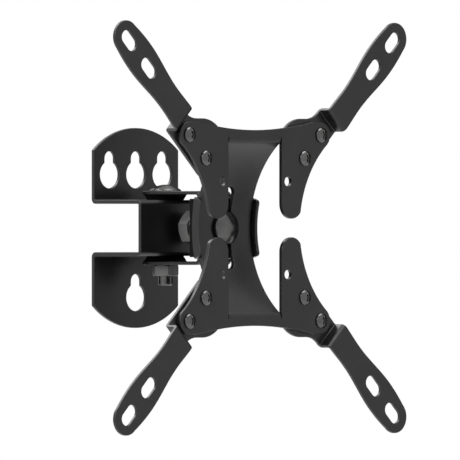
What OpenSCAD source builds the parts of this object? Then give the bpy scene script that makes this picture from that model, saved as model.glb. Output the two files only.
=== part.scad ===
// Swivelling, rolling and tilting wall mount for a small flat television.
// Origin: on the wall face, at the height of the swivel bracket's middle.
// +X to the right, +Z up, the television on the -Y side. Millimetres.

/* [Wall bracket] */
// Width of the wall bracket
bracket_w = 64.2; // [62:0.2:68]
// Height of the wall bracket at its middle
bracket_h = 108; // [104:1:116]
// Height of the wall bracket's straight sides
bracket_side_h = 84; // [80:1:90]
// Thickness of the wall bracket's sheet
bracket_t = 2.1; // [1.8:0.1:2.4]
// Inner bend radius of the wall bracket
bracket_bend_r = 0.6; // [0.4:0.1:1.5]
// Outside height of the raised middle
hat_h = 30.2; // [29.4:0.1:31]
// How far the raised middle stands out from the wall
hat_reach = 37.9; // [37:0.1:38]
// Diameter of a keyhole's round end
keyhole_d = 14.8; // [12:0.1:15]
// Width of a keyhole's slot
keyhole_slot_w = 7.8; // [6:0.1:9]
// Distance between a keyhole's round end and the end of its slot, centre to centre
keyhole_rise = 8.7; // [8:0.1:9]
// Sideways distance between the top keyholes
keyhole_pitch = 20; // [19:0.5:21]
// Height of the top keyholes' round ends
top_keyhole_z = 28.8; // [28:0.1:30]
// Depth below the middle of the bottom keyhole's round end
bottom_keyhole_z = 37.5; // [36:0.1:38]

/* [Swivel joint] */
// Distance of the swivel axis from the wall
swivel_reach = 24.3; // [23:0.1:24.5]
// Diameter of the swivel bolt
swivel_bolt_d = 8; // [7:0.5:8]
// Length of the swivel bolt below its head
swivel_bolt_l = 51; // [49:0.5:53]
// Diameter of both bolts' domed heads
dome_d = 17.3; // [16:0.1:18]
// Height of both bolts' domed heads
dome_h = 3.5; // [3:0.1:4]
// Width across the swivel nut's flats
swivel_nut_af = 13; // [12:0.5:13]
// Height of the swivel nut
swivel_nut_h = 6; // [5:0.1:6.8]
// Turn of the swivel nut about its bolt
swivel_nut_turn = -3.8; // [-30:0.1:30]
// Large diameter of the swivel washers
cone_washer_d = 23.2; // [22:0.1:24]
// Small diameter of the swivel washers
cone_washer_tip_d = 19.7; // [18:0.1:21]

/* [Swivel bracket] */
// Width of the swivel bracket
swivel_bracket_w = 24.6; // [24:0.1:25]
// Outside height of the swivel bracket
swivel_bracket_h = 39.8; // [39.4:0.1:41]
// Thickness of the swivel bracket's sheet
swivel_bracket_t = 1.9; // [1.6:0.1:2]
// Inner bend radius of the swivel bracket
swivel_bend_r = 1.5; // [1:0.1:2]
// Distance of the swivel bracket's front face from the wall
web_reach = 62.7; // [62.4:0.1:62.9]

/* [Roll joint] */
// Diameter of the roll bolt
roll_bolt_d = 10; // [9.5:0.1:10]
// Width across the two flats on the roll bolt's neck
roll_neck_w = 8; // [7.6:0.1:8.2]
// Width across the roll nut's flats
roll_nut_af = 17; // [16:0.5:17]
// Height of the roll nut
roll_nut_h = 7.8; // [7:0.1:8]
// Turn of the roll nut about its bolt
roll_nut_turn = -12; // [-30:1:30]
// Distance of the roll nut's front face from the wall
roll_nut_reach = 50.5; // [50.3:0.1:50.8]
// How far the roll bolt's end stands out of its nut
roll_bolt_tip = 1.5; // [1:0.1:2]
// Diameter of the flat washer at the roll nut
flat_washer_d = 19; // [18:0.5:20]
// Thickness of the flat washer at the roll nut
flat_washer_t = 1.5; // [1:0.1:2]
// Large diameter of the roll bush
roll_bush_d = 24; // [22:0.5:24]
// Diameter of the washer under the roll bolt's head
head_washer_d = 18.4; // [18:0.1:19]
// Thickness of the washer under the roll bolt's head, at its middle
head_washer_t = 1.2; // [1.1:0.1:2.4]

/* [Tilt joint] */
// Distance of the tilt axis from the wall
tilt_reach = 127.1; // [126.9:0.1:127.4]
// Radius of the curved strip's front surface, about the tilt axis
strip_r = 57.5; // [57.2:0.1:57.7]
// Width of the curved strip
strip_w = 39.4; // [38:0.2:39.6]
// Outer radius of the bends between the plate and the curved strip
strip_bend_r = 5; // [3:0.5:6]
// Width of the slot along the curved strip
slot_w = 8.4; // [8.3:0.1:9]
// Height of the slot along the curved strip
slot_h = 44; // [42:0.5:46]
// Outside width of the tilt saddle
saddle_w = 45; // [44.4:0.2:46]
// Angle that the tilt saddle spans about the tilt axis
saddle_angle = 31.2; // [30:0.2:33]
// Thickness of the tilt saddle's sheet
saddle_t = 1.9; // [1.6:0.1:2]
// Inner bend radius of the tilt saddle
saddle_bend_r = 1.1; // [0.8:0.1:1.5]
// Distance from the wall to the middle of the saddle's side edges
saddle_reach = 72.2; // [71:0.1:73]
// Width of the friction pad
pad_w = 39.8; // [38:0.2:42]
// Height of the friction pad
pad_h = 31.4; // [30:0.2:32]

/* [Television plate] */
// Distance of the television plate's front face from the wall
plate_reach = 93; // [92.6:0.1:93.4]
// Thickness of the television plate
plate_t = 2.5; // [2.2:0.1:2.5]
// Corner hole spacing, the plate's large square pattern
outer_pitch = 100; // [100:100]
// Inner screw spacing, the plate's middle square pattern
inner_pitch = 75; // [75:75]
// Finger hole spacing, the plate's small square pattern
finger_pitch = 50; // [50:50]
// Diameter of the finger holes
finger_hole_d = 5.2; // [4.5:0.1:5.5]
// Radius of the plate's corners
corner_r = 7.1; // [6.8:0.1:7.4]
// Plate height at its middle
plate_mid_h = 105.2; // [104:0.1:106]
// Radius of the hollow top and bottom edges
hollow_r = 217; // [200:1:240]
// Radius of the hollow sides
side_r = 58.5; // [58:0.5:60]
// Width between the fingers' inner edges
window_w = 40.6; // [40.2:0.2:41]
// Height of the window between the fingers' roots
window_h = 92; // [91:0.1:92.4]
// Gap between an upper and a lower finger
finger_gap = 10; // [8:0.5:12]
// Radius of the fingers' round ends
finger_end_r = 7.8; // [7:0.1:8]

/* [Adapter arms] */
// Square hole spacing at the arms' outer slots
arm_pitch = 200; // [200:200]
// Distance from an arm's corner screw to its inner slot
arm_slot_step = 50; // [49:0.5:51]
// Width of the arms' slots
arm_slot_w = 7.4; // [6.5:0.1:7.6]
// Length of the arms' slots
arm_slot_l = 12.8; // [12:0.1:14]
// Thickness of the arms
arm_t = 2; // [1.8:0.1:2]
// How far the arms' outer parts stand in front of the television plate
arm_step = 4.9; // [4.5:0.1:5.3]
// Distance along the diagonal from the middle to the rounding of an arm's inner end
arm_root_at = 49.5; // [48:0.5:51]
// Distance along the diagonal from the middle to the step in an arm
step_at = 82.3; // [81.8:0.1:82.8]
// Inner bend radius of an arm's step
step_r = 0.6; // [0.5:0.1:1.2]
// Width of an arm at its step
arm_step_w = 16.4; // [16:0.1:17]
// Width of an arm at its waist
arm_waist_w = 15.3; // [15:0.1:16]
// Width of an arm round its slots
arm_pad_w = 20.2; // [19:0.1:21]
// Distance along the diagonal from the middle to an arm's waist
waist_at = 98; // [96:1:100]
// Distance along the diagonal from the middle to where an arm is widest
pad_at = 128.5; // [126:0.5:130]
// Radius of an arm's round tip
arm_tip_r = 8.8; // [8:0.1:9.4]
// Distance along the diagonal from the middle to an arm's tip
arm_tip_at = 153.1; // [152.5:0.1:154]
// Height of the lobe beside an arm's screws
lobe_top_z = 58.8; // [58.4:0.1:59.2]
// Radius of the lobe beside an arm's screws
lobe_r = 18; // [17:0.5:19]
// Distance from the lobe's straight edge to its screw hole
lobe_margin = 7.7; // [7:0.1:8]
// Radius of the hollow between the lobe and the step
lobe_hollow_r = 12.5; // [11:0.5:13]

/* [Screws and nuts] */
// Diameter of the arm screws
screw_d = 4; // [3.8:0.1:4]
// Diameter of the arm screws' heads
screw_head_d = 8; // [7:0.1:8.2]
// Height of the arm screws' heads
screw_head_h = 2.3; // [2:0.1:2.8]
// Width across the arm nuts' flats
screw_nut_af = 7; // [6.5:0.1:7]
// Height of the arm nuts
screw_nut_h = 3.2; // [2.8:0.1:3.4]

/* [Fits] */
// Radial running clearance of the two bolts in their bearings
running_gap = 0.05; // [0.02:0.01:0.1]
// Radial clearance of bolts and screws in plain holes
loose_gap = 0.15; // [0.1:0.05:0.3]
// Clearance at the curved sliding faces
curve_gap = 0.3; // [0.3:0.05:0.4]

/* [Hidden] */
$fn = 96;

steel = [0.16, 0.16, 0.165];
oxide = [0.30, 0.30, 0.30];
plastic = [0.03, 0.03, 0.03];
far = 400;
past = 1;

brim_rise = (bracket_h - bracket_side_h) / 2;
brim_r = (pow(bracket_w / 2, 2) + pow(brim_rise, 2)) / (2 * brim_rise);
ear_z = swivel_bracket_h / 2;
ear_inner_z = ear_z - swivel_bracket_t;
cone_washer_t = ear_inner_z - hat_h / 2;

strip_back_r = strip_r + plate_t;
strip_bend_z = sqrt(pow(strip_r + strip_bend_r, 2) - pow(tilt_reach - plate_reach + strip_bend_r, 2));
saddle_front_r = strip_back_r + curve_gap;
saddle_back_r = saddle_front_r + saddle_t;
saddle_edge_r = tilt_reach - saddle_reach;
head_washer_r = strip_r - curve_gap;
head_reach = tilt_reach - head_washer_r + head_washer_t;
roll_bolt_end = roll_nut_reach - roll_nut_h - roll_bolt_tip;
web_back = web_reach - swivel_bracket_t;
bush_back = roll_nut_reach + flat_washer_t;

side_x = sqrt(pow(side_r + corner_r, 2) - pow(outer_pitch / 2, 2)) + outer_pitch / 2;
side_end_z = outer_pitch / 2 * side_r / (side_r + corner_r);
finger_end_z = finger_gap / 2 + finger_end_r;

tip_middle = arm_tip_at - arm_tip_r;
slot_out_at = arm_pitch / sqrt(2);
slot_in_at = outer_pitch / sqrt(2) + arm_slot_step;
lobe_hole_x = outer_pitch / 2 - (outer_pitch - inner_pitch) / sqrt(2);
lobe_x = inner_pitch / 2;
lobe_z = lobe_top_z - lobe_r;
lobe_left = lobe_hole_x - lobe_margin;
hollow_z = lobe_top_z + lobe_hollow_r;
hollow_x = hollow_z - sqrt(2) * (arm_step_w / 2 + lobe_hollow_r);

// Placing. "far" is longer than the whole mount, and a cut runs "past" the faces it goes through.

// A flat outline in X and Z becomes a slab that starts "from" in front of the wall.
module slab(from, thickness)
    translate([0, -from, 0]) rotate([90, 0, 0]) linear_extrude(thickness) children();

// An outline of reach and height becomes a bar across X.
module across(width)
    rotate([90, 0, -90]) linear_extrude(width, center = true) children();

// A shape along Z turns to stand out from the wall.
module outward(from)
    translate([0, -from, 0]) rotate([90, 0, 0]) children();

// A shape along Z lies on the tilt axis.
module on_tilt_axis()
    translate([0, -tilt_reach, 0]) rotate([0, 90, 0]) children();

// A shape along Z stands on the swivel axis.
module on_swivel_axis(z)
    translate([0, -swivel_reach, z]) children();

// One copy at each corner of a square of holes.
module at_corners(pitch)
    for (x = [-1, 1], z = [-1, 1]) translate([x * pitch / 2, z * pitch / 2]) children();

// Shared shapes

module span(x0, x1, y0, y1)
    translate([x0, y0]) square([x1 - x0, y1 - y0]);

// A triangle about the second axis, its point at the origin.
module wedge(half_angle)
    polygon([[0, 0], [far * tan(half_angle), far], [-far * tan(half_angle), far]]);

// A quarter of a bent sheet, on the side of its centre that x_side and y_side (-1 or 1) name.
module bend(r, t, x_side, y_side)
    intersection() {
        difference() {
            circle(r + t);
            circle(r);
        }
        translate([(x_side - 1) / 2 * (r + t), (y_side - 1) / 2 * (r + t)]) square(r + t);
    }

module slot(length, width) {
    square([length - width, width], center = true);
    for (side = [-1, 1]) translate([side * (length - width) / 2, 0]) circle(d = width);
}

module ring(d_outer, d_inner, height)
    difference() {
        cylinder(d = d_outer, h = height);
        translate([0, 0, -past]) cylinder(d = d_inner, h = height + 2 * past);
    }

module cone_ring(d_bottom, d_top, d_inner, height)
    difference() {
        cylinder(d1 = d_bottom, d2 = d_top, h = height);
        translate([0, 0, -past]) cylinder(d = d_inner, h = height + 2 * past);
    }

// Hexagon nut standing on Z = 0, its corners chamfered at both ends.
module hex_nut(af, height, bore) {
    chamfer_angle = 30;
    corner = af / sqrt(3);
    flat = 0.95 * af / 2;
    chamfer = (corner - flat) * tan(chamfer_angle);
    difference() {
        intersection() {
            cylinder(r = corner, h = height, $fn = 6);
            rotate_extrude() polygon([
                [0, 0], [flat, 0], [corner, chamfer],
                [corner, height - chamfer], [flat, height], [0, height]
            ]);
        }
        translate([0, 0, -past]) cylinder(d = bore, h = height + 2 * past);
    }
}

// Domed bolt head standing on Z = 0.
module dome_head() {
    rim = 0.4;
    cap = dome_h - rim;
    r = (pow(dome_d / 2, 2) + pow(cap, 2)) / (2 * cap);
    cylinder(d = dome_d, h = rim);
    translate([0, 0, rim]) intersection() {
        translate([0, 0, cap - r]) sphere(r);
        cylinder(d = dome_d, h = dome_h);
    }
}

// Bolt shank from Z = 0 down, with a chamfered end.
module shank(d, length) {
    chamfer = d / 10;
    translate([0, 0, chamfer - length]) cylinder(d = d, h = length - chamfer);
    translate([0, 0, -length]) cylinder(d1 = d - 2 * chamfer, d2 = d, h = chamfer);
}

// Wall bracket

// Section of the bent sheet: reach from the wall along the first axis, height along the second.
module bracket_section() {
    outer_z = hat_h / 2;
    inner_z = outer_z - bracket_t;
    inner_reach = hat_reach - bracket_t;
    root = bracket_t + bracket_bend_r;
    nose = inner_reach - bracket_bend_r;
    for (side = [0, 1]) mirror([0, side]) {
        span(0, bracket_t, outer_z + bracket_bend_r, bracket_h / 2);
        translate([root, outer_z + bracket_bend_r]) bend(bracket_bend_r, bracket_t, -1, -1);
        span(root, nose, inner_z, outer_z);
        translate([nose, inner_z - bracket_bend_r]) bend(bracket_bend_r, bracket_t, 1, 1);
        span(inner_reach, hat_reach, 0, inner_z - bracket_bend_r);
    }
}

module bracket_outline()
    for (side = [0, 1]) mirror([0, side]) intersection() {
        span(-bracket_w / 2, bracket_w / 2, 0, bracket_h / 2);
        translate([0, bracket_h / 2 - brim_r]) circle(brim_r, $fn = 180);
    }

module keyhole() {
    circle(d = keyhole_d);
    span(-keyhole_slot_w / 2, keyhole_slot_w / 2, 0, keyhole_rise);
    translate([0, keyhole_rise]) circle(d = keyhole_slot_w);
}

module wall_bracket() color(steel) difference() {
    intersection() {
        across(bracket_w) bracket_section();
        slab(0, hat_reach) bracket_outline();
    }
    slab(-past, bracket_t + 2 * past) {
        for (column = [-1, 0, 1])
            translate([column * keyhole_pitch, top_keyhole_z]) keyhole();
        translate([0, -bottom_keyhole_z]) keyhole();
    }
    on_swivel_axis(-hat_h) cylinder(d = swivel_bolt_d + 2 * running_gap, h = 2 * hat_h);
}

// Swivel joint

module swivel_section() {
    nose = web_back - swivel_bend_r;
    corner_z = ear_inner_z - swivel_bend_r;
    for (side = [0, 1]) mirror([0, side]) {
        span(0, nose, ear_inner_z, ear_z);
        translate([nose, corner_z]) bend(swivel_bend_r, swivel_bracket_t, 1, 1);
        span(web_back, web_reach, 0, corner_z);
    }
}

module swivel_bracket() color(steel) difference() {
    intersection() {
        across(swivel_bracket_w) swivel_section();
        union() {
            on_swivel_axis(-ear_z) cylinder(d = swivel_bracket_w, h = 2 * ear_z);
            translate([-swivel_bracket_w / 2, -web_reach, -ear_z])
                cube([swivel_bracket_w, web_reach - swivel_reach, 2 * ear_z]);
        }
    }
    on_swivel_axis(-far / 2) cylinder(d = swivel_bolt_d + 2 * loose_gap, h = far);
    outward(web_back - past)
        cylinder(d = roll_bolt_d + 2 * running_gap, h = swivel_bracket_t + 2 * past);
}

module swivel_bolt() color(oxide) on_swivel_axis(ear_z) {
    dome_head();
    shank(swivel_bolt_d, swivel_bolt_l);
}

module swivel_nut() color(oxide) on_swivel_axis(-ear_z - swivel_nut_h)
    rotate(swivel_nut_turn) hex_nut(swivel_nut_af, swivel_nut_h, swivel_bolt_d + 2 * running_gap);

module swivel_washer_upper() color(plastic) on_swivel_axis(hat_h / 2)
    cone_ring(cone_washer_tip_d, cone_washer_d, swivel_bolt_d + 2 * loose_gap, cone_washer_t);

module swivel_washer_lower() color(plastic) mirror([0, 0, 1]) on_swivel_axis(hat_h / 2)
    cone_ring(cone_washer_tip_d, cone_washer_d, swivel_bolt_d + 2 * loose_gap, cone_washer_t);

// Roll and tilt joint

// Section of the saddle: distance from the tilt axis along the first axis, X along the second.
module saddle_section(back_r, half_w, corner) {
    span(saddle_edge_r, back_r - corner, -half_w, half_w);
    span(saddle_edge_r, back_r, corner - half_w, half_w - corner);
    for (side = [-1, 1]) translate([back_r - corner, side * (half_w - corner)]) circle(corner);
}

// Side view from the tilt axis, with the side flanges' free corners rounded.
module saddle_side_view() {
    corner = 2;
    middle_r = saddle_edge_r + corner;
    inset = asin(corner / middle_r);
    difference() {
        wedge(saddle_angle / 2 - inset);
        circle(saddle_edge_r);
    }
    difference() {
        wedge(saddle_angle / 2);
        circle(middle_r);
    }
    for (side = [-1, 1])
        rotate(side * (saddle_angle / 2 - inset)) translate([0, middle_r]) circle(corner);
}

module tilt_saddle() color(steel) difference() {
    intersection() {
        on_tilt_axis() rotate_extrude($fn = 180) difference() {
            saddle_section(saddle_back_r, saddle_w / 2, saddle_t + saddle_bend_r);
            saddle_section(saddle_front_r, saddle_w / 2 - saddle_t, saddle_bend_r);
        }
        on_tilt_axis() linear_extrude(saddle_w + 2 * past, center = true) saddle_side_view();
    }
    outward(web_reach) cylinder(d = roll_bolt_d + 2 * loose_gap, h = far);
}

module friction_pad() color(plastic) difference() {
    translate([-pad_w / 2, -saddle_reach, -pad_h / 2])
        cube([pad_w, saddle_reach - web_reach, pad_h]);
    on_tilt_axis() cylinder(r = saddle_back_r, h = far, center = true, $fn = 180);
    outward(web_reach - past) cylinder(d = roll_bolt_d + 2 * loose_gap, h = far);
}

module roll_bolt() color(oxide) {
    neck_l = 6;
    outward(head_reach) dome_head();
    difference() {
        outward(head_reach) shank(roll_bolt_d, head_reach - roll_bolt_end);
        for (side = [-1, 1])
            translate([side * (roll_neck_w + far) / 2, neck_l / 2 - head_reach, 0])
                cube([far, neck_l, far], center = true);
    }
}

module head_washer() color(plastic) difference() {
    blank_t = 2 * head_washer_t;
    intersection() {
        outward(head_reach - blank_t) cylinder(d = head_washer_d, h = blank_t);
        on_tilt_axis() cylinder(r = head_washer_r, h = far, center = true, $fn = 180);
    }
    outward(head_reach - far / 2) cylinder(d = roll_bolt_d + 2 * loose_gap, h = far);
}

module roll_bush() color(plastic) outward(bush_back)
    cone_ring(flat_washer_d, roll_bush_d, roll_bolt_d + 2 * loose_gap, web_back - bush_back);

module roll_flat_washer() color(oxide) outward(roll_nut_reach)
    ring(flat_washer_d, roll_bolt_d + 2 * loose_gap, flat_washer_t);

module roll_nut() color(oxide) outward(roll_nut_reach - roll_nut_h)
    rotate(roll_nut_turn) hex_nut(roll_nut_af, roll_nut_h, roll_bolt_d + 2 * running_gap);

// Television plate

module plate_outline() {
    half = outer_pitch / 2 + corner_r;
    difference() {
        union() {
            square([2 * half, 2 * side_end_z], center = true);
            square([outer_pitch, 2 * half], center = true);
            at_corners(outer_pitch) circle(corner_r);
        }
        for (side = [-1, 1]) {
            translate([0, side * (plate_mid_h / 2 + hollow_r)]) circle(hollow_r, $fn = 360);
            translate([side * side_x, 0]) circle(side_r, $fn = 180);
        }
    }
}

// The open middle: the window, slits that free the strip's bends, and the gaps between the
// ends of the fingers.
module plate_window() {
    finger_x = window_w / 2 + finger_end_r;
    square([window_w, window_h], center = true);
    difference() {
        square([window_w, 2 * strip_bend_z], center = true);
        square([strip_w, 2 * strip_bend_z + 2 * past], center = true);
    }
    difference() {
        square([outer_pitch, 2 * finger_end_z], center = true);
        for (x = [-1, 1], z = [-1, 1])
            translate([x * finger_x, z * finger_end_z]) circle(finger_end_r);
    }
}

// Section of the curved strip, down from the plate's plane.
module strip_section() intersection() {
    translate([tilt_reach, 0]) difference() {
        circle(strip_back_r, $fn = 180);
        circle(strip_r, $fn = 180);
    }
    span(0, plate_reach, -far / 2, far / 2);
}

// What the bends between the plate and the strip round off in front, above and below. Their arc
// stands out by a hair, so that it crosses the two faces instead of only touching them.
module strip_bend_corners() for (side = [0, 1]) mirror([0, side]) difference() {
    hair = 0.02;
    share = strip_r / (strip_r + strip_bend_r);
    foot = tilt_reach - (tilt_reach - plate_reach + strip_bend_r) * share;
    polygon([
        [plate_reach, strip_bend_z], [plate_reach + past, strip_bend_z],
        [plate_reach + past, strip_bend_z * share], [foot, strip_bend_z * share]
    ]);
    translate([plate_reach - strip_bend_r, strip_bend_z]) circle(strip_bend_r + hair);
}

module tv_plate() color(steel) difference() {
    union() {
        slab(plate_reach - plate_t, plate_t) difference() {
            plate_outline();
            plate_window();
            at_corners(outer_pitch) circle(d = screw_d + 2 * loose_gap);
            at_corners(inner_pitch) circle(d = screw_d + 2 * loose_gap);
            at_corners(finger_pitch) circle(d = finger_hole_d);
        }
        across(strip_w) strip_section();
    }
    slab(web_reach, plate_reach - web_reach) rotate(90) slot(slot_h, slot_w);
    across(strip_w) strip_bend_corners();
}

// Adapter arms, drawn along the first axis and turned 45 degrees

// A smooth change from one value to another as the share goes from 0 to 1.
function blend(from, to, share) = from + (to - from) * (1 - cos(180 * share)) / 2;

// Half the width of an arm's outer part at a distance along the diagonal.
function arm_half_w(at) =
    at < waist_at
        ? blend(arm_step_w, arm_waist_w, (at - step_at) / (waist_at - step_at)) / 2
        : at < pad_at
            ? blend(arm_waist_w, arm_pad_w, (at - waist_at) / (pad_at - waist_at)) / 2
            : arm_pad_w / 2 - (arm_pad_w / 2 - arm_tip_r) * pow((at - pad_at) / (tip_middle - pad_at), 2);

module arm_outer_outline() {
    steps = 24;
    edge = concat(
        [[arm_root_at, arm_step_w / 2]],
        [for (i = [0 : steps])
            let (at = step_at + (tip_middle - step_at) * i / steps) [at, arm_half_w(at)]]
    );
    last = len(edge) - 1;
    polygon(concat(edge, [for (i = [last : -1 : 0]) [edge[i][0], -edge[i][1]]]));
    translate([tip_middle, 0]) circle(arm_tip_r);
}

// The end behind the plate, with a lobe for a second angle of the arm.
module arm_inner_outline() {
    root = arm_root_at / sqrt(2);
    foot = (hollow_x + hollow_z) / 2;
    translate([arm_root_at, 0]) circle(d = arm_step_w);
    rotate(-45) {
        intersection() {
            translate([lobe_x, lobe_z]) circle(lobe_r);
            span(lobe_left, lobe_x + past, lobe_z, lobe_top_z + past);
        }
        difference() {
            polygon([
                [lobe_left, lobe_z], [lobe_x, lobe_z], [lobe_x, lobe_top_z], [hollow_x, lobe_top_z],
                [hollow_x, hollow_z], [foot, foot], [root, root], [lobe_left, root]
            ]);
            translate([hollow_x, hollow_z]) circle(lobe_hollow_r);
        }
    }
}

// Section of an arm: distance along the diagonal, then reach from the wall.
module arm_section() {
    inner_front = plate_reach - plate_t;
    outer_back = plate_reach + arm_step - arm_t;
    wall_in = step_at - arm_t / 2;
    wall_out = step_at + arm_t / 2;
    span(0, wall_in - step_r, inner_front - arm_t, inner_front);
    translate([wall_in - step_r, inner_front + step_r]) bend(step_r, arm_t, 1, -1);
    span(wall_in, wall_out, inner_front + step_r, outer_back - step_r);
    translate([wall_out + step_r, outer_back - step_r]) bend(step_r, arm_t, -1, 1);
    span(wall_out + step_r, far, outer_back, outer_back + arm_t);
}

module arm() color(steel) rotate([0, -45, 0]) difference() {
    intersection() {
        union() {
            slab(0, plate_reach + far) arm_inner_outline();
            slab(0, plate_reach + far) arm_outer_outline();
        }
        mirror([0, 1, 0]) linear_extrude(far, center = true) arm_section();
    }
    slab(0, far) {
        translate([outer_pitch / sqrt(2), 0]) circle(d = screw_d + 2 * loose_gap);
        translate([inner_pitch / sqrt(2), 0]) circle(d = screw_d + 2 * loose_gap);
        rotate(-45) translate([lobe_hole_x, outer_pitch / 2]) circle(d = screw_d + 2 * loose_gap);
        translate([slot_in_at, 0]) slot(arm_slot_l, arm_slot_w);
        translate([slot_out_at, 0]) slot(arm_slot_l, arm_slot_w);
    }
}

module arm_top_right() arm();
module arm_top_left() mirror([1, 0, 0]) arm();
module arm_bottom_right() mirror([0, 0, 1]) arm();
module arm_bottom_left() mirror([1, 0, 0]) mirror([0, 0, 1]) arm();

// Screws and nuts that hold the arms

module screw() difference() {
    tip = 0.8;
    recess_w = 0.9;
    recess_l = 4;
    recess_depth = 1.3;
    rim = 0.8;
    cap = screw_head_h - rim;
    r = (pow(screw_head_d / 2, 2) + pow(cap, 2)) / (2 * cap);
    union() {
        cylinder(d = screw_head_d, h = rim);
        translate([0, 0, rim]) intersection() {
            translate([0, 0, cap - r]) sphere(r);
            cylinder(d = screw_head_d, h = screw_head_h);
        }
        shank(screw_d, plate_t + arm_t + screw_nut_h + tip);
    }
    for (turn = [0, 90]) rotate(turn)
        translate([-recess_l / 2, -recess_w / 2, screw_head_h - recess_depth])
            cube([recess_l, recess_w, screw_head_h]);
}

module plate_screws() color(oxide) for (pitch = [inner_pitch, outer_pitch])
    outward(plate_reach) at_corners(pitch) screw();

module plate_nuts() color(oxide) for (pitch = [inner_pitch, outer_pitch])
    outward(plate_reach - plate_t - arm_t - screw_nut_h)
        at_corners(pitch) hex_nut(screw_nut_af, screw_nut_h, screw_d + 2 * running_gap);

wall_bracket();
swivel_bracket();
swivel_bolt();
swivel_nut();
swivel_washer_upper();
swivel_washer_lower();
tilt_saddle();
friction_pad();
roll_bolt();
head_washer();
roll_bush();
roll_flat_washer();
roll_nut();
tv_plate();
arm_top_right();
arm_top_left();
arm_bottom_right();
arm_bottom_left();
plate_screws();
plate_nuts();
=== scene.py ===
import math

import bpy
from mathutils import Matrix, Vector

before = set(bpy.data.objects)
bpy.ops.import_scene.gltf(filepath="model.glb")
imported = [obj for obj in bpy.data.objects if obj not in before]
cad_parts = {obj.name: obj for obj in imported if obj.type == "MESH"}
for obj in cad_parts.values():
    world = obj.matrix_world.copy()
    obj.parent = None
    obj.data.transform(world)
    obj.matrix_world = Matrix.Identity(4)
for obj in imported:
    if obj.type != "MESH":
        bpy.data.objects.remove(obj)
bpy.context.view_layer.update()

# Wall mount for a small television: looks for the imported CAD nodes, in metres.
# +X is to the right, +Z is up, the television side is -Y and the wall is at Y = 0.

MM = 0.001


# Camera: 45 degrees round to the left and level with the mount's middle. The photograph
# shows almost no perspective, so the lens is very long. Longer still, and the other views
# would stand too far away to see the mount.

VIEW_WIDTH = 247.05 * MM
LENS = 1680.0
SENSOR = 36.0
AIM = Vector((-9.70, -83.30, -1.085)) * MM
AZIMUTH = -45.0


def make_camera():
    distance = VIEW_WIDTH * LENS / SENSOR
    data = bpy.data.cameras.new("photo_camera")
    data.lens = LENS
    data.sensor_width = SENSOR
    camera = bpy.data.objects.new("photo_camera", data)
    camera.location = AIM + Vector((-1.0, -1.0, 0.0)).normalized() * distance
    camera.rotation_euler = (math.radians(90), 0.0, math.radians(AZIMUTH))
    bpy.context.collection.objects.link(camera)
    bpy.context.scene.camera = camera


# Light and surroundings

WHITE = (1.0, 1.0, 1.0, 1.0)
DARK_SIDE = Vector((0.97, 0.2, 0.0)).normalized()
DARK_STARTS = 0.6
DARK_FULL = 0.85
DARK_STRENGTH = 0.05
MIDDLE = Vector((0.0, -0.05, 0.0))
FLOOR_HALF = 1.2
FLOOR_HEIGHT = -0.5


def make_world():
    """A white studio whose right side is dark; the camera itself sees plain white behind."""
    world = bpy.data.worlds.new("studio")
    world.use_nodes = True
    tree = world.node_tree
    direction = tree.nodes.new("ShaderNodeTexCoord").outputs["Generated"]
    facing = tree.nodes.new("ShaderNodeVectorMath")
    facing.operation = "DOT_PRODUCT"
    facing.inputs[1].default_value = DARK_SIDE
    tree.links.new(direction, facing.inputs[0])
    shade = tree.nodes.new("ShaderNodeMapRange")
    shade.interpolation_type = "SMOOTHSTEP"
    shade.inputs["From Min"].default_value = DARK_STARTS
    shade.inputs["From Max"].default_value = DARK_FULL
    shade.inputs["To Min"].default_value = 1.0
    shade.inputs["To Max"].default_value = DARK_STRENGTH
    tree.links.new(facing.outputs["Value"], shade.inputs["Value"])
    seen = tree.nodes.new("ShaderNodeLightPath").outputs["Is Camera Ray"]
    strength = tree.nodes.new("ShaderNodeMath")
    strength.operation = "MAXIMUM"
    tree.links.new(shade.outputs["Result"], strength.inputs[0])
    tree.links.new(seen, strength.inputs[1])
    background = tree.nodes["Background"]
    background.inputs["Color"].default_value = WHITE
    tree.links.new(strength.outputs["Value"], background.inputs["Strength"])
    bpy.context.scene.world = world


def make_softbox(name, place, size, watts):
    """A square light that faces the mount."""
    data = bpy.data.lights.new(name, "AREA")
    data.shape = "SQUARE"
    data.size = size
    data.energy = watts
    lamp = bpy.data.objects.new(name, data)
    lamp.location = place
    lamp.rotation_euler = (MIDDLE - Vector(place)).to_track_quat("-Z", "Y").to_euler()
    bpy.context.collection.objects.link(lamp)


def make_floor(material):
    mesh = bpy.data.meshes.new("floor")
    corners = [(-1, -1), (1, -1), (1, 1), (-1, 1)]
    points = [(x * FLOOR_HALF, y * FLOOR_HALF, FLOOR_HEIGHT) for x, y in corners]
    mesh.from_pydata(points, [], [(0, 1, 2, 3)])
    floor = bpy.data.objects.new("floor", mesh)
    mesh.materials.append(material)
    bpy.context.collection.objects.link(floor)


# Nodes that the materials share. Noise scales are in cycles per metre.

def node_material(name):
    """A material with its node tree, its Principled shader and its object coordinates."""
    material = bpy.data.materials.new(name)
    material.use_nodes = True
    tree = material.node_tree
    shader = tree.nodes["Principled BSDF"]
    coordinates = tree.nodes.new("ShaderNodeTexCoord").outputs["Object"]
    return material, tree, shader, coordinates


def noise(tree, coordinates, scale, detail=2.0, roughness=0.5):
    texture = tree.nodes.new("ShaderNodeTexNoise")
    texture.inputs["Scale"].default_value = scale
    texture.inputs["Detail"].default_value = detail
    texture.inputs["Roughness"].default_value = roughness
    tree.links.new(coordinates, texture.inputs["Vector"])
    return texture.outputs["Fac"]


# Noise stays mostly between these two values.
NOISE_LOW = 0.3
NOISE_HIGH = 0.7


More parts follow.
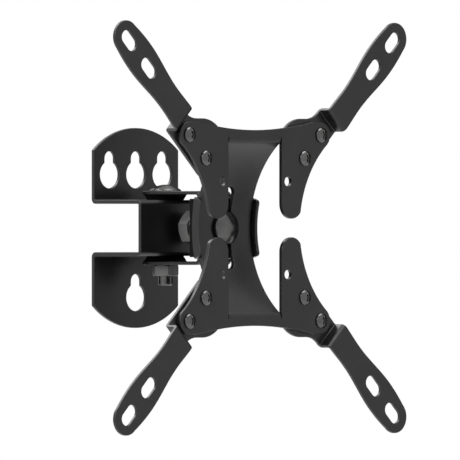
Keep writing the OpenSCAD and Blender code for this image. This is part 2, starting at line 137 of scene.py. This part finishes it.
def ramp(tree, value, dark, light):
    """Colours from dark to light as a noise goes from its low to its high value."""
    node = tree.nodes.new("ShaderNodeValToRGB")
    node.color_ramp.elements[0].position = NOISE_LOW
    node.color_ramp.elements[0].color = (*dark, 1.0)
    node.color_ramp.elements[1].position = NOISE_HIGH
    node.color_ramp.elements[1].color = (*light, 1.0)
    tree.links.new(value, node.inputs["Fac"])
    return node.outputs["Color"]


def spread(tree, value, low, high):
    """A noise's usual range spread over low to high."""
    node = tree.nodes.new("ShaderNodeMapRange")
    node.inputs["From Min"].default_value = NOISE_LOW
    node.inputs["From Max"].default_value = NOISE_HIGH
    node.inputs["To Min"].default_value = low
    node.inputs["To Max"].default_value = high
    tree.links.new(value, node.inputs["Value"])
    return node.outputs["Result"]


def bump(tree, height, distance, normal=None):
    """The normal of a relief of that depth, laid over another normal where there is one."""
    node = tree.nodes.new("ShaderNodeBump")
    node.inputs["Distance"].default_value = distance
    node.inputs["Strength"].default_value = 1.0
    tree.links.new(height, node.inputs["Height"])
    if normal is not None:
        tree.links.new(normal, node.inputs["Normal"])
    return node.outputs["Normal"]


def painted_edge_highlight(tree, coordinates, radius, strength):
    """How much painted highlight the edges get: 0 on open faces, up to the strength in patches
    along edges.
    """
    plain_face_cosine = 0.97
    full_highlight_cosine = 0.75
    rounded = tree.nodes.new("ShaderNodeBevel")
    rounded.samples = 6
    rounded.inputs["Radius"].default_value = radius
    facing = tree.nodes.new("ShaderNodeVectorMath")
    facing.operation = "DOT_PRODUCT"
    tree.links.new(rounded.outputs["Normal"], facing.inputs[0])
    tree.links.new(tree.nodes.new("ShaderNodeNewGeometry").outputs["Normal"], facing.inputs[1])
    near_edge = tree.nodes.new("ShaderNodeMapRange")
    near_edge.inputs["From Min"].default_value = plain_face_cosine
    near_edge.inputs["From Max"].default_value = full_highlight_cosine
    tree.links.new(facing.outputs["Value"], near_edge.inputs["Value"])
    clouds = noise(tree, coordinates, scale=260.0, detail=4.0, roughness=0.65)
    highlight_share = tree.nodes.new("ShaderNodeMath")
    highlight_share.operation = "MULTIPLY"
    highlight_share.use_clamp = True
    tree.links.new(near_edge.outputs["Result"], highlight_share.inputs[0])
    tree.links.new(spread(tree, clouds, 0.0, strength), highlight_share.inputs[1])
    return highlight_share.outputs["Value"]


def blend_colour(tree, share, first, second):
    """The first colour turning into the second, a constant, as the share rises."""
    node = tree.nodes.new("ShaderNodeMix")
    node.data_type = "RGBA"
    sockets = {socket.identifier: socket for socket in node.inputs}
    sockets["B_Color"].default_value = (*second, 1.0)
    tree.links.new(share, sockets["Factor_Float"])
    tree.links.new(first, sockets["A_Color"])
    return {socket.identifier: socket for socket in node.outputs}["Result_Color"]


def blend_value(tree, share, first, second):
    """The first value turning into the second, a constant, as the share rises."""
    node = tree.nodes.new("ShaderNodeMix")
    node.inputs["B"].default_value = second
    tree.links.new(share, node.inputs["Factor"])
    tree.links.new(first, node.inputs["A"])
    return node.outputs["Result"]


# Materials

def powder_coat():
    """Satin black powder coat: orange peel, fine grain, uneven tone, edges painted brighter in
    patches as a highlight.
    """
    dark = (0.0036, 0.0036, 0.0039)
    light = (0.0064, 0.0064, 0.0066)
    # Lighter colour painted along edges as a highlight; those edges are also made a little
    # glossier.
    highlight_colour = (0.020, 0.020, 0.019)
    material, tree, shader, coordinates = node_material("powder_coat_black")
    tone = noise(tree, coordinates, scale=60.0, detail=3.0)
    peel = noise(tree, coordinates, scale=700.0, detail=1.0)
    grain = noise(tree, coordinates, scale=2600.0)
    highlight_share = painted_edge_highlight(tree, coordinates, radius=0.4 * MM, strength=0.8)
    colour = blend_colour(tree, highlight_share, ramp(tree, tone, dark, light), highlight_colour)
    tree.links.new(colour, shader.inputs["Base Color"])
    gloss = blend_value(tree, highlight_share, spread(tree, grain, 0.30, 0.38), 0.28)
    tree.links.new(gloss, shader.inputs["Roughness"])
    waves = bump(tree, peel, distance=0.012 * MM)
    relief = bump(tree, grain, distance=0.03 * MM, normal=waves)
    tree.links.new(relief, shader.inputs["Normal"])
    shader.inputs["Specular IOR Level"].default_value = 0.40
    return material


def blackened_steel(name, roughness, tones, metallic):
    """Blackened steel: cloudy oxide, fine tooling marks, edges painted a lighter grey as a
    highlight.
    """
    dark = (tones[0], tones[0], tones[0])
    light = (tones[1], tones[1], 0.98 * tones[1])
    # Lighter grey painted along edges as a highlight; those edges are also made glossier.
    highlight_colour = (0.16, 0.155, 0.15)
    material, tree, shader, coordinates = node_material(name)
    tone = noise(tree, coordinates, scale=220.0, detail=4.0)
    scratch = noise(tree, coordinates, scale=3500.0, detail=3.0)
    highlight_share = painted_edge_highlight(tree, coordinates, radius=0.2 * MM, strength=0.7)
    colour = blend_colour(tree, highlight_share, ramp(tree, tone, dark, light), highlight_colour)
    tree.links.new(colour, shader.inputs["Base Color"])
    gloss = blend_value(tree, highlight_share, spread(tree, scratch, *roughness), 0.22)
    tree.links.new(gloss, shader.inputs["Roughness"])
    tree.links.new(bump(tree, scratch, distance=0.01 * MM), shader.inputs["Normal"])
    shader.inputs["Metallic"].default_value = metallic
    return material


def black_plastic():
    """Moulded black nylon: a fine mould texture, edges a little smoother and painted a little
    lighter as a highlight.
    """
    dark = (0.0016, 0.0016, 0.0016)
    light = (0.003, 0.003, 0.003)
    # Slightly lighter colour painted along edges as a highlight.
    highlight_colour = (0.004, 0.004, 0.004)
    material, tree, shader, coordinates = node_material("black_nylon")
    grain = noise(tree, coordinates, scale=1800.0)
    highlight_share = painted_edge_highlight(tree, coordinates, radius=0.15 * MM, strength=0.5)
    colour = blend_colour(tree, highlight_share, ramp(tree, grain, dark, light), highlight_colour)
    tree.links.new(colour, shader.inputs["Base Color"])
    gloss = blend_value(tree, highlight_share, spread(tree, grain, 0.5, 0.62), 0.46)
    tree.links.new(gloss, shader.inputs["Roughness"])
    tree.links.new(bump(tree, grain, distance=0.02 * MM), shader.inputs["Normal"])
    shader.inputs["Specular IOR Level"].default_value = 0.06
    return material


def pale_floor():
    """Matt pale floor with a faint uneven tone."""
    dark = (0.60, 0.60, 0.60)
    light = (0.63, 0.63, 0.63)
    material, tree, shader, coordinates = node_material("pale_floor")
    tone = noise(tree, coordinates, scale=3.0)
    tree.links.new(ramp(tree, tone, dark, light), shader.inputs["Base Color"])
    shader.inputs["Roughness"].default_value = 0.9
    return material


# CAD nodes: a material each, and edges broken so that they catch the light

STEEL = ["wall_bracket", "swivel_bracket", "tilt_saddle", "tv_plate"]
ARMS = ["arm_top_right", "arm_top_left", "arm_bottom_right", "arm_bottom_left"]
BOLTS = ["swivel_bolt", "roll_bolt", "roll_flat_washer"]
NUTS = ["swivel_nut", "roll_nut", "plate_nuts"]
SCREWS = ["plate_screws"]
PLASTIC = ["swivel_washer_upper", "swivel_washer_lower", "friction_pad", "head_washer", "roll_bush"]

SAME_POINT = 1e-6
FLAT_WITHIN = math.radians(0.2)
SHARP_FROM = math.radians(38)


def dress(nodes, material, edge):
    """Gives the nodes a material and breaks their sharp edges by the given width."""
    for node in nodes:
        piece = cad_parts[node]
        for place in piece.material_slots:
            place.material = material
        weld = piece.modifiers.new("weld", "WELD")
        weld.merge_threshold = SAME_POINT
        flatten = piece.modifiers.new("whole_faces", "DECIMATE")
        flatten.decimate_type = "DISSOLVE"
        flatten.angle_limit = FLAT_WITHIN
        bevel = piece.modifiers.new("broken_edges", "BEVEL")
        bevel.width = edge
        bevel.segments = 3
        bevel.limit_method = "ANGLE"
        bevel.angle_limit = SHARP_FROM
        bevel.use_clamp_overlap = False
        shading = piece.modifiers.new("even_shading", "WEIGHTED_NORMAL")
        shading.mode = "FACE_AREA"
        shading.weight = 50


make_camera()
make_world()
make_softbox("top_softbox", place=(0.3, -0.6, 2.0), size=1.6, watts=40.0)
make_softbox("left_softbox", place=(-2.1, -0.2, 1.0), size=1.2, watts=40.0)
make_softbox("back_softbox", place=(-0.3, 1.6, 1.6), size=1.4, watts=32.0)
make_floor(pale_floor())

bolt_steel = blackened_steel("bolt_steel", (0.20, 0.30), (0.080, 0.110), metallic=1.0)
screw_steel = blackened_steel("screw_steel", (0.14, 0.24), (0.085, 0.115), metallic=1.0)
nut_steel = blackened_steel("nut_steel", (0.42, 0.52), (0.070, 0.100), metallic=0.2)
dress(STEEL + ARMS, powder_coat(), edge=0.4 * MM)
dress(BOLTS, bolt_steel, edge=0.12 * MM)
dress(NUTS, nut_steel, edge=0.12 * MM)
dress(SCREWS, screw_steel, edge=0.08 * MM)
dress(PLASTIC, black_plastic(), edge=0.2 * MM)

bpy.context.scene.view_settings.view_transform = "Standard"
